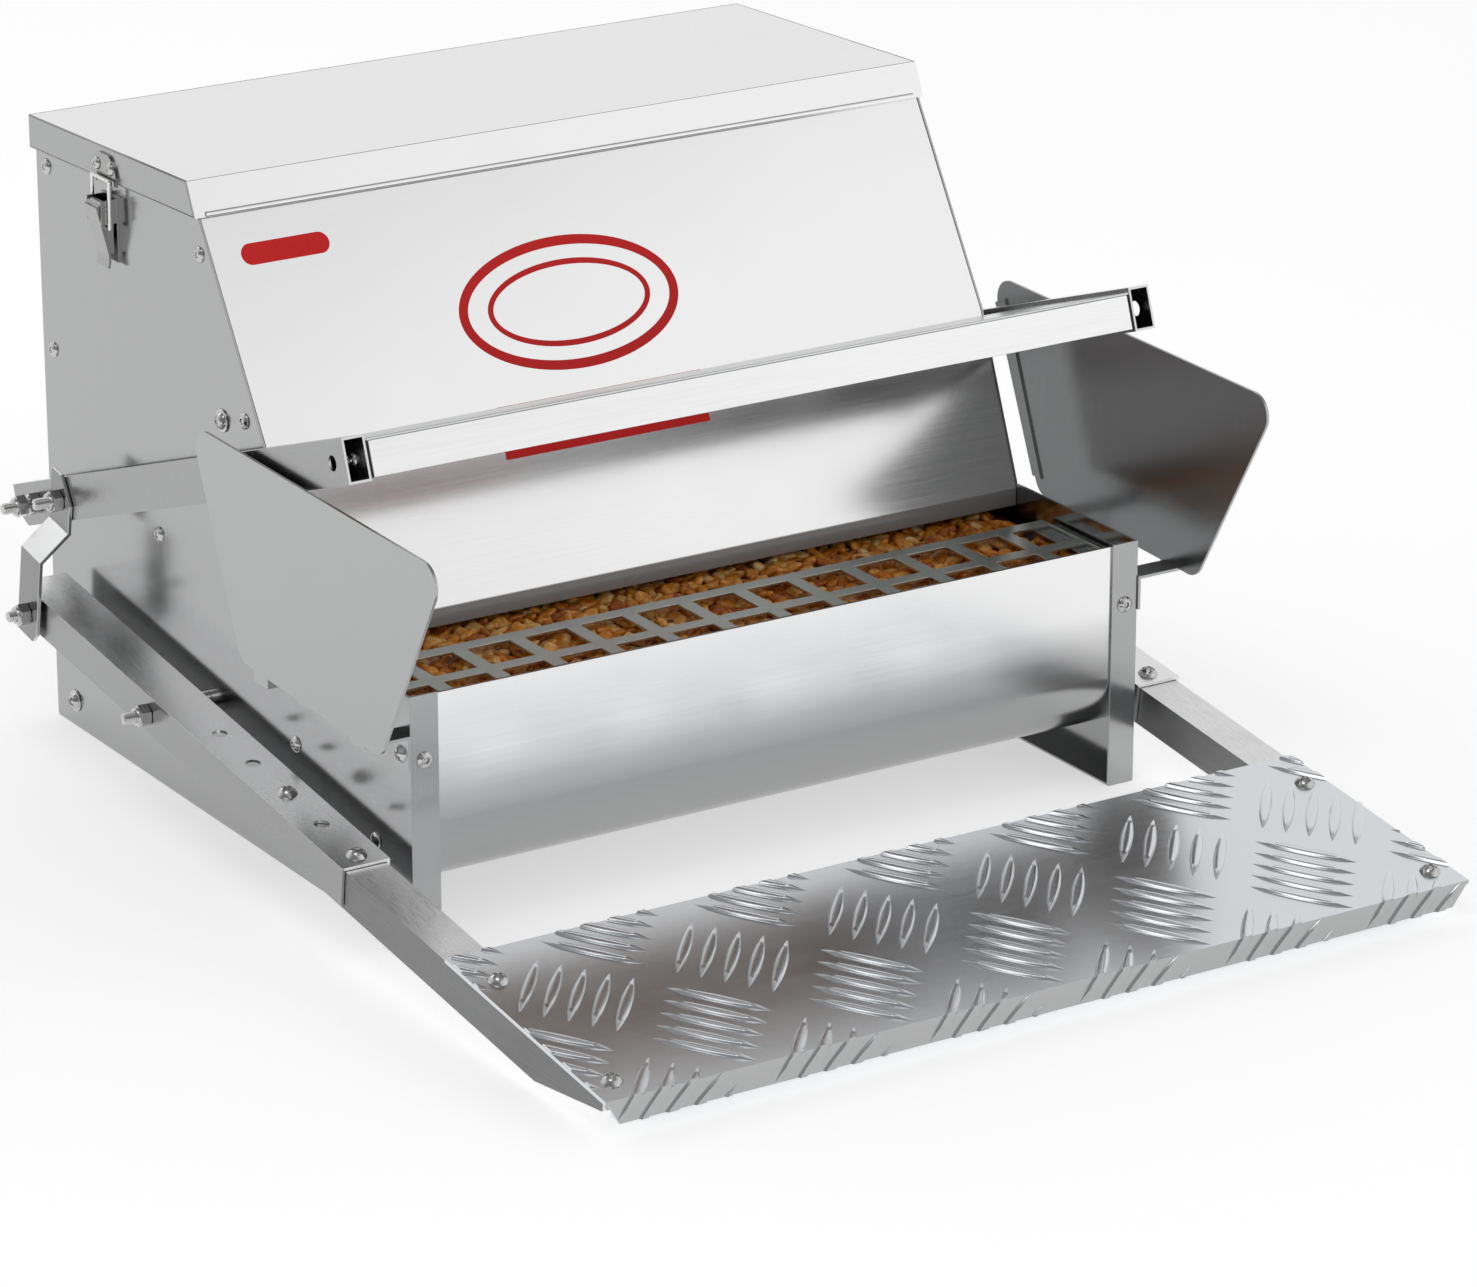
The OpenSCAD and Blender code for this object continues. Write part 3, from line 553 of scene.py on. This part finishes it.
def nut_set(node, body, at_yz, places, flat=5.0):
    """Replaces plain CAD nuts: places are (start x, length, collar)."""
    build = Builder()
    for side in (-1, 1):
        for x, length, collar in places:
            add_nut(build, flat, length, facing(side * x, *at_yz, (side, 0, 0)), collar)
    fixings(node, build, body)


def centre_yz(node):
    low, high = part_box(node)
    mid = (low + high) / 2
    return mid.y / MM - BACK_Y, mid.z / MM


arm_in = HALF_W + 7.8
arm_out = arm_in + 12
channel_out = TUBE_X + 11 + 0.3 + 1.5
link_low_x = channel_out + 2
link_up_out = arm_out + 0.3 + 2
inside_x = HALF_W - 1.2

link_top = centre_yz("link_top_bolts")
link_bottom = centre_yz("link_bottom_bolts")
bolt_set("cover_pivot_bolts", "hopper", COVER_PIVOT, inside_x - 3.6, 5.0, 3.6, arm_out + 20, 18)
bolt_set("treadle_pivot_bolts", "hopper", TREADLE_PIVOT, inside_x - 3.6, 5.0, 3.6, channel_out + 14, 12)
bolt_set("link_top_bolts", "cover", link_top, arm_in - 3, 4.3, 3.0, link_up_out + 14.5, 14)
bolt_set("link_bottom_bolts", "treadle", link_bottom, channel_out - 4.5, 4.3, 3.0, link_low_x + 13, 11)
nut_set("cover_pivot_nuts", "hopper", COVER_PIVOT, [(arm_out + 0.3, 5, None), (arm_out + 7.3, 5, 1.6)])
nut_set("treadle_pivot_nuts", "hopper", TREADLE_PIVOT, [(channel_out + 0.3, 5.4, 1.6)])
nut_set("link_top_nuts", "cover", link_top, [(link_up_out + 0.3, 5.4, 1.6)])
nut_set("link_bottom_nuts", "treadle", link_bottom, [(link_low_x + 2.3, 5.4, 1.6)])


def screw_set(node, body, places, radius, height, shank, length):
    """Replaces plain CAD screws: places are matrices with local z out of the head."""
    build = Builder()
    for i, matrix in enumerate(places):
        cross_head(build, radius, height, matrix, shank, length, spin=0.7 * i + 0.35)
    fixings(node, build, body, 50)


def sides(points, x):
    return [facing(s * x, y, z, (s, 0, 0)) for s in (-1, 1) for y, z in points]


screw_set("panel_screws", "hopper", sides([(-195.3, 214), (-21.5, 14)], HALF_W + 1), 4.4, 3, 2.49, 5.4)
screw_set("guard_screws", "hopper", sides([(-275, 99), (-369, 99)], HALF_W + 1.5), 4.4, 3, 2.49, 5.4)
screw_set("crossbar_screws", "cover",
          [facing(s * (arm_in + 1.2), -334, 0, (s, 0, 0), IN_COVER) for s in (-1, 1)], 3.6, 2.6, 1.99, 12)
screw_set("plate_screws", "treadle",
          [facing(s * TUBE_X, -a, TREAD_TOP, (0, 0, 1), IN_TREADLE) for s in (-1, 1) for a in (321, 421)],
          5.2, 3.6, 2.49, 6)
screw_set("channel_screws", "treadle",
          [facing(s * TUBE_X, -a, 10.3, (0, 0, 1), IN_TREADLE) for s in (-1, 1) for a in (119.6, 188.2)],
          5.2, 3.6, 2.49, 9)


def islands(node):
    """Low and high corner of each separate solid of a CAD node, in metres."""
    bm = bmesh.new()
    bm.from_mesh(NODES[node].data)
    bmesh.ops.remove_doubles(bm, verts=bm.verts[:], dist=2e-6)
    left, boxes = set(bm.verts), []
    while left:
        queue, group = [left.pop()], []
        while queue:
            vert = queue.pop()
            group.append(vert.co.copy())
            for edge in vert.link_edges:
                other = edge.other_vert(vert)
                if other in left:
                    left.remove(other)
                    queue.append(other)
        low = Vector(min(c[k] for c in group) for k in range(3))
        high = Vector(max(c[k] for c in group) for k in range(3))
        boxes.append((low, high))
    bm.free()
    return sorted(boxes, key=lambda box: tuple(round(v, 5) for v in box[0]))


# profile of a rivet head in mm: radius and height
RIVET_TOP = 2.0
RIVET = ((4.2, 0.0), (4.2, 0.35), (4.05, 0.7), (3.5, 1.15), (2.8, 1.6), (2.3, 1.88), (1.95, 2.0),
         (1.7, 1.95), (1.5, 1.7), (1.42, 0.9), (1.1, 0.9), (1.08, 1.3), (0.8, 1.55), (0.4, 1.62))


def rivet_set(node, body, radius, height, shank_r):
    """Replaces plain CAD rivets by blind rivets with the mandrel's hole."""
    build = Builder()
    wide, tall = radius / RIVET[0][0], height / RIVET_TOP
    for low, high in islands(node):
        mid = (low + high) / 2
        side = 1 if mid.x > 0 else -1
        if high.z - low.z > high.x - low.x + 0.5 * MM:      # the rivet looks sideways
            way = (side, 0, 0)
            base = Vector(((high.x if side > 0 else low.x) - side * height * MM, mid.y, mid.z))
            depth = (high.x - low.x) / MM - height
        else:
            way = (0, -1, 0)
            base = Vector((mid.x, low.y + height * MM, mid.z))
            depth = (high.y - low.y) / MM - height
        matrix = Matrix.Translation(base) @ turned(way)
        build.rings([circle_ring(shank_r, -depth, 32), circle_ring(shank_r, 0, 32)]
                    + [circle_ring(r * wide, z * tall, 32) for r, z in RIVET], matrix)
    fixings(node, build, body)


rivet_set("body_rivets", "hopper", 4.2, 2.0, 1.98)
rivet_set("catch_rivets", "lid", 3.4, 1.6, 1.58)


# ------------------------------------------------------------------ lid details
LID_LEAN = math.radians(25)
LID_SKIRT = 16.8
HEM_HALF_H = 1.3
HEM_THICK = 0.75
HEM_SHORT = 6.0         # the hem stops this far from the lid's corners
FOLD_R = 0.52
FOLD_INSET = 0.4


def slope_axes(lean):
    """Up along a front sheet that leans back, and out of it."""
    return Vector((0, math.sin(lean), math.cos(lean))), Vector((0, -math.cos(lean), math.sin(lean)))


def lid_hem():
    """Rolled hem along the foot of the lid's front skirt."""
    low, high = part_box("lid")
    half = high.x / MM - HEM_SHORT
    foot = Vector((0, low.y / MM - BACK_Y, high.z / MM - LID_SKIRT))
    up, out = slope_axes(LID_LEAN)
    angles = [math.pi * k / 8 for k in range(9)]
    profile = [(0.1 + HEM_HALF_H - HEM_HALF_H * math.cos(a), HEM_THICK * math.sin(a)) for a in angles]
    profile.append((1.4, -0.4))
    rings = []
    for x in (-half, half):
        points = [foot + up * s + out * h for s, h in profile]
        rings.append([at(x, p.y, p.z) for p in points])
    build = Builder()
    build.rings(rings, Matrix.Identity(4))
    obj = mesh_object("lid_hem", build.verts, build.faces, "sheet_lid", "lid")
    sharpen(obj)


lid_hem()


def lid_folds():
    """Thin folds round the lid's top and along the foot of its side skirts, a little proud of them; their
    dark colour is painted shade, the shadow lines at the folds.
    """
    low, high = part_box("lid")
    inset, skirt = FOLD_INSET * MM, LID_SKIRT * MM
    front_y = at(0, LID_FRONT, 0).y
    front = (front_y + inset, high.z - inset)
    back = (high.y - inset, high.z - ROOF_SLOPE * (high.y - front_y) - inset)
    front_foot = (front_y - skirt * math.tan(LID_LEAN) + 2 * MM, high.z - skirt + inset)
    back_foot = (back[0], back[1] - skirt + 2 * inset)
    left, right = low.x + inset, high.x - inset
    top = [Vector((left, *front)), Vector((right, *front)), Vector((right, *back)), Vector((left, *back))]
    lines = list(zip(top, top[1:] + top[:1]))
    lines += [(Vector((x, *front_foot)), Vector((x, *back_foot))) for x in (left, right)]
    build = Builder()
    for start, end in lines:
        along = end - start
        place = Matrix.Translation(start) @ turned(along)
        build.rings([circle_ring(FOLD_R, 0, 12), circle_ring(FOLD_R, along.length / MM, 12)], place)
    mesh_object("lid_folds", build.verts, build.faces, "fold", "lid")


lid_folds()


# ------------------------------------------------------------------ tread pattern, in mm
PLATE_HALF = 240.5
PLATE_BACK = 293.6
PLATE_FRONT = 436.0
FLANGE_H = 13.0
BAR_LEN = 50.6
BAR_WIDTH = 6.0
BAR_H = 1.3
SINK = 0.3
BAR_STEPS = 28
# cross-section of a bar: place across, as a part of its half width, and height
BAR_SECTION = ((-1.0, 0.0), (-0.94, 0.10), (-0.76, 0.80), (-0.62, 0.98), (0.0, 0.94),
               (0.62, 0.98), (0.76, 0.80), (0.94, 0.10), (1.0, 0.0))
PATTERN_STEP = (83.1, 98)
CUT_MARGIN = 0.25
BEND_REACH = 2.5


def lens_bar(bm, cx, ca, direction):
    """One raised bar, drawn on the unrolled plate: x across, a forwards, height above the sheet."""
    ux, ua = direction
    rows = []
    for i in range(BAR_STEPS + 1):
        t = -1 + 2 * i / BAR_STEPS
        width = BAR_WIDTH / 2 * (1 - abs(t) ** 2.1)
        lift = min(1.0, 3.2 * (1 - abs(t)))
        row = []
        for s, h in BAR_SECTION:
            x = cx + ux * t * BAR_LEN / 2 - ua * s * width
            a = ca + ua * t * BAR_LEN / 2 + ux * s * width
            row.append((x, a, BAR_H * h * lift))
        rows.append(row)
    top = [[bm.verts.new(p) for p in row] for row in rows]
    low = [[bm.verts.new((row[k][0], row[k][1], -SINK)) for k in (0, -1)] for row in rows]
    for i in range(BAR_STEPS):
        for k in range(len(BAR_SECTION) - 1):
            bm.faces.new((top[i][k], top[i][k + 1], top[i + 1][k + 1], top[i + 1][k]))
        bm.faces.new((low[i][0], top[i][0], top[i + 1][0], low[i + 1][0]))
        bm.faces.new((top[i][-1], low[i][1], low[i + 1][1], top[i + 1][-1]))
        bm.faces.new((low[i][1], low[i][0], low[i + 1][0], low[i + 1][1]))
    for i in (0, BAR_STEPS):
        bm.faces.new([low[i][0], *top[i], low[i][1]][:: 1 if i == 0 else -1])


def slice_at(bm, point, normal, outside=False):
    """Cuts every face along a plane; what lies beyond it is removed and closed if outside is true."""
    cut = bmesh.ops.bisect_plane(bm, geom=bm.verts[:] + bm.edges[:] + bm.faces[:], dist=1e-6,
                                 plane_co=point, plane_no=normal, clear_outer=outside)
    if outside:
        edges = [e for e in cut["geom_cut"] if isinstance(e, bmesh.types.BMEdge)]
        bmesh.ops.holes_fill(bm, edges=edges, sides=0)


def folded_over(x, a, h):
    """A point of the unrolled plate, after the front flange is folded down."""
    over = a - PLATE_FRONT
    proud = 0.6 * max(0.0, h) * max(0.0, 1 - abs(over) / BEND_REACH)
    if over <= 0:
        return Vector((x, -a - proud, TREAD_TOP + h))
    return Vector((x, -PLATE_FRONT - h, TREAD_TOP - over + proud))


def tread_pattern():
    """Groups of five bars that lean one way and the other, trimmed to the plate and its front flange."""
    bm = bmesh.new()
    lean = Vector((-32.2, 38.6)).normalized()
    cross = Vector((32.7, 39.1)).normalized()
    across, forwards = PATTERN_STEP
    for i in range(-1, 7):
        for j in range(-1, 2):
            for k in range(-2, 3):
                lens_bar(bm, -203 + across * i + 7.75 * k, 348 + forwards * j + 8.4 * k, lean)
                lens_bar(bm, -161.5 + across * i - 7.4 * k, 397 + forwards * j + 9.0 * k, cross)
    edge, foot = PLATE_HALF - CUT_MARGIN, PLATE_FRONT + FLANGE_H - CUT_MARGIN
    slice_at(bm, (edge, 0, 0), (1, 0, 0), True)
    slice_at(bm, (-edge, 0, 0), (-1, 0, 0), True)
    slice_at(bm, (0, PLATE_BACK, 0), (0, -1, 0), True)
    slice_at(bm, (0, foot, 0), (0, 1, 0), True)
    slice_at(bm, (edge, PLATE_FRONT, 0), (FLANGE_H, 8, 0), True)
    slice_at(bm, (-edge, PLATE_FRONT, 0), (-FLANGE_H, 8, 0), True)
    slice_at(bm, (0, PLATE_FRONT, 0), (0, 1, 0))
    for v in bm.verts:
        v.co = IN_TREADLE @ (folded_over(*v.co) * MM)
    bmesh.ops.recalc_face_normals(bm, faces=bm.faces[:])
    mesh = bpy.data.meshes.new("tread_bars")
    bm.to_mesh(mesh)
    bm.free()
    sharpen(piece(mesh, "tread", "treadle"), 40)


tread_pattern()


# ------------------------------------------------------------------ grain
KERNEL_HALF = (5.7, 4.7, 2.6)       # half length, width and thickness in mm
KERNEL_STEP = 7.3
FEED_MARGIN = 6.0
FEED_FRONT_MARGIN = 6.5
LAYERS = (108.6, 110.8)
FEED_BACK = -246


def kernel_shape():
    """A maize kernel: a flat wedge with a broad dented crown and a narrow tip, crown towards -x."""
    bm = bmesh.new()
    bmesh.ops.create_icosphere(bm, subdivisions=3, radius=1.0)
    half_length, half_width, half_thick = KERNEL_HALF
    points, crowns = [], []
    for v in bm.verts:
        x, y, z = v.co
        width = half_width * (0.80 - 0.30 * x - 0.10 * x * x)
        dent = 0.75 * max(0.0, -x - 0.55) * math.exp(-6 * y * y)
        hollow = 1 - 0.25 * math.exp(-8 * y * y - 5 * x * x)
        thick = half_thick * (0.92 - 0.20 * x) * hollow
        points.append(Vector((x * half_length + dent * 2.2, y * width, z * thick)) * MM)
        crowns.append(0.45 * max(0.0, -x - 0.25) + 0.35 * max(0.0, x - 0.72))
    faces = [tuple(v.index for v in f.verts) for f in bm.faces]
    bm.free()
    return points, crowns, faces


def kernel_place(x, y, level):
    """Where one kernel lies, turned at random."""
    spot = at(x + rng.uniform(-1.6, 1.6), y + rng.uniform(-1.0, 2.2), level + rng.uniform(-0.8, 0.8))
    turn = (Matrix.Rotation(rng.uniform(0, 2 * math.pi), 4, "Z")
            @ Matrix.Rotation(rng.uniform(-0.5, 0.5), 4, "Y")
            @ Matrix.Rotation(rng.uniform(-0.7, 0.7), 4, "X"))
    return Matrix.Translation(spot) @ turn @ Matrix.Scale(rng.uniform(0.82, 1.08), 4)


def grain():
    """Two loose layers of kernels on the feed that can be seen in the trough."""
    points, crowns, faces = kernel_shape()
    low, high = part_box("feed")
    x_end = high.x / MM - FEED_MARGIN
    front = low.y / MM - BACK_Y + FEED_FRONT_MARGIN
    verts, all_faces, tones = [], [], []
    for layer, level in enumerate(LAYERS):
        y = front + 1.5 * layer
        while y < FEED_BACK:
            x = -x_end + 3.0 * layer
            while x < x_end:
                place = kernel_place(x, y, level)
                start, tone = len(verts), rng.uniform(0.0, 0.75)
                verts += [place @ p for p in points]
                all_faces += [tuple(start + i for i in f) for f in faces]
                tones += [tone + c for c in crowns]
                x += KERNEL_STEP + rng.uniform(0, 1.6)
            y += KERNEL_STEP
    obj = mesh_object("feed_kernels", verts, all_faces, "kernel", "hopper")
    attribute = obj.data.attributes.new("tone", "FLOAT", "POINT")
    attribute.data.foreach_set("value", tones)


grain()


# ------------------------------------------------------------------ plain print on the hopper front
KNEE = Vector((0, -236.0, 213.0))       # foot of the sloping front
FRONT_UP, FRONT_OUT = slope_axes(math.radians(32))
INK_LOW, INK_HIGH = 0.02, 0.12          # both faces of the ink layer above the sheet, in mm


def on_front(x, s, height):
    """A point on the hopper front: x across and s up the slope, in mm."""
    p = KNEE + FRONT_UP * s + FRONT_OUT * height
    return at(x, p.y, p.z)


def oval(cx, cs, rx, rs, height, straight=0.0, n=96):
    """Outline of an oval, stretched across by a straight part on both sides of its middle."""
    points = []
    for k in range(n):
        c, s = math.cos(2 * math.pi * k / n), math.sin(2 * math.pi * k / n)
        shift = straight if c > 0 else -straight
        points.append(on_front(cx + shift + rx * c, cs + rs * s, height))
    return points


def ring_print(build, cx, cs, rx, rs, band):
    rings = [oval(cx, cs, rx - inset, rs - inset, height)
             for inset, height in ((0, INK_LOW), (0, INK_HIGH), (band, INK_HIGH), (band, INK_LOW))]
    build.rings(rings + [rings[0]], Matrix.Identity(4), close=False)


def bar_print(build, cx, cs, half_x, half_s):
    build.rings([oval(cx, cs, half_s, half_s, height, half_x - half_s, 48)
                 for height in (INK_LOW, INK_HIGH)], Matrix.Identity(4))


def front_print():
    """A plain bar and two plain oval rings in red."""
    build = Builder()
    bar_print(build, -167, 93, 24, 5.5)
    ring_print(build, -24, 42, 62, 34, 5.0)
    ring_print(build, -24, 42, 46, 22, 3.0)
    mesh_object("front_print", build.verts, build.faces, "red", "hopper", smooth=False)


front_print()


# ------------------------------------------------------------------ stage, light and camera
FLOOR_HALF = 20.0
FLOOR_GLOW = 0.52
STUDIO_WHITE = 0.88
LEFT_WALL = (-0.8, -0.6, 0)
# how the walls darken: strength at both ends, and where the change starts and stops
TO_THE_LEFT = (1.0, 0.28, 0.30, 0.85)
UPWARDS = (1.0, 0.34, 0.60, 0.86)
CAMERA_BACK = (-0.5007, -0.7938, 0.3451)
CAMERA_PLACE = (-1.519, -2.439, 1.148)
CAMERA_LENS = 151.5


def floor():
    half = FLOOR_HALF
    mesh = bpy.data.meshes.new("floor")
    mesh.from_pydata([(-half, -half, 0), (half, -half, 0), (half, half, 0), (-half, half, 0)],
                     [], [(0, 1, 2, 3)])
    obj = in_scene("floor", mesh)
    obj.location.z = -0.3 * MM
    mat, nodes, links, bsdf = new_material("floor")
    speck = noise(nodes, links, coords(nodes, links), 3.0, 3.0)
    tone = two_colours(nodes, links, (0.76, 0.76, 0.76), (0.78, 0.78, 0.78), speck)
    links.new(tone, bsdf.inputs["Base Color"])
    bsdf.inputs["Roughness"].default_value = 0.8
    bsdf.inputs["Specular IOR Level"].default_value = 0.1
    bsdf.inputs["Emission Color"].default_value = (1, 1, 1, 1)
    bsdf.inputs["Emission Strength"].default_value = FLOOR_GLOW
    mesh.materials.append(mat)


def softbox(name, direction, distance, width, height, radiance, target=(0, 0, 0.15)):
    """Rectangular area light, aimed at the feeder; radiance adds to the wall behind it."""
    light = bpy.data.lights.new(name, "AREA")
    light.shape = "RECTANGLE"
    light.size, light.size_y = width, height
    light.energy = radiance * math.pi * width * height
    obj = in_scene(name, light)
    way = Vector(direction).normalized()
    obj.location = Vector(target) + way * distance
    obj.rotation_mode = "QUATERNION"
    obj.rotation_quaternion = way.to_track_quat("Z", "Y")


def fade(nodes, links, value, low, high, start, stop):
    node = nodes.new("ShaderNodeMapRange")
    node.interpolation_type = "SMOOTHSTEP"
    node.inputs["From Min"].default_value = start
    node.inputs["From Max"].default_value = stop
    node.inputs["To Min"].default_value = low
    node.inputs["To Max"].default_value = high
    links.new(value, node.inputs["Value"])
    return node.outputs["Result"]


def world():
    """Bright studio walls on the right, darker ones on the left and overhead, for contrast in the metal."""
    made = bpy.data.worlds.new("studio")
    bpy.context.scene.world = made
    made.use_nodes = True
    nodes, links = made.node_tree.nodes, made.node_tree.links
    where = nodes.new("ShaderNodeTexCoord")
    split = nodes.new("ShaderNodeSeparateXYZ")
    links.new(where.outputs["Generated"], split.inputs["Vector"])
    left = nodes.new("ShaderNodeVectorMath")
    left.operation = "DOT_PRODUCT"
    left.inputs[1].default_value = LEFT_WALL
    links.new(where.outputs["Generated"], left.inputs[0])
    product = nodes.new("ShaderNodeMath")
    product.operation = "MULTIPLY"
    links.new(fade(nodes, links, left.outputs["Value"], *TO_THE_LEFT), product.inputs[0])
    links.new(fade(nodes, links, split.outputs["Z"], *UPWARDS), product.inputs[1])
    links.new(product.outputs["Value"], nodes["Background"].inputs["Strength"])
    nodes["Background"].inputs["Color"].default_value = (STUDIO_WHITE, STUDIO_WHITE, STUDIO_WHITE, 1)


def camera():
    data = bpy.data.cameras.new("camera")
    data.sensor_fit = "HORIZONTAL"
    data.sensor_width = 36.0
    data.lens = CAMERA_LENS
    obj = in_scene("camera", data)
    obj.location = CAMERA_PLACE
    obj.rotation_mode = "QUATERNION"
    obj.rotation_quaternion = Vector(CAMERA_BACK).to_track_quat("Z", "Y")
    bpy.context.scene.camera = obj


floor()
world()
softbox("key_box", (-0.35, -0.30, 0.88), 2.6, 1.2, 1.2, 1.6)
softbox("rim_box", (-0.27, 0.74, 0.62), 2.8, 1.3, 0.6, 1.3)
softbox("front_box", (0.62, -0.62, 0.46), 2.8, 1.4, 1.3, 0.12)
softbox("low_box", (0.5, -0.86, 0.12), 3.0, 2.0, 0.45, 0.35)
camera()
bpy.context.scene.view_settings.view_transform = "Standard"
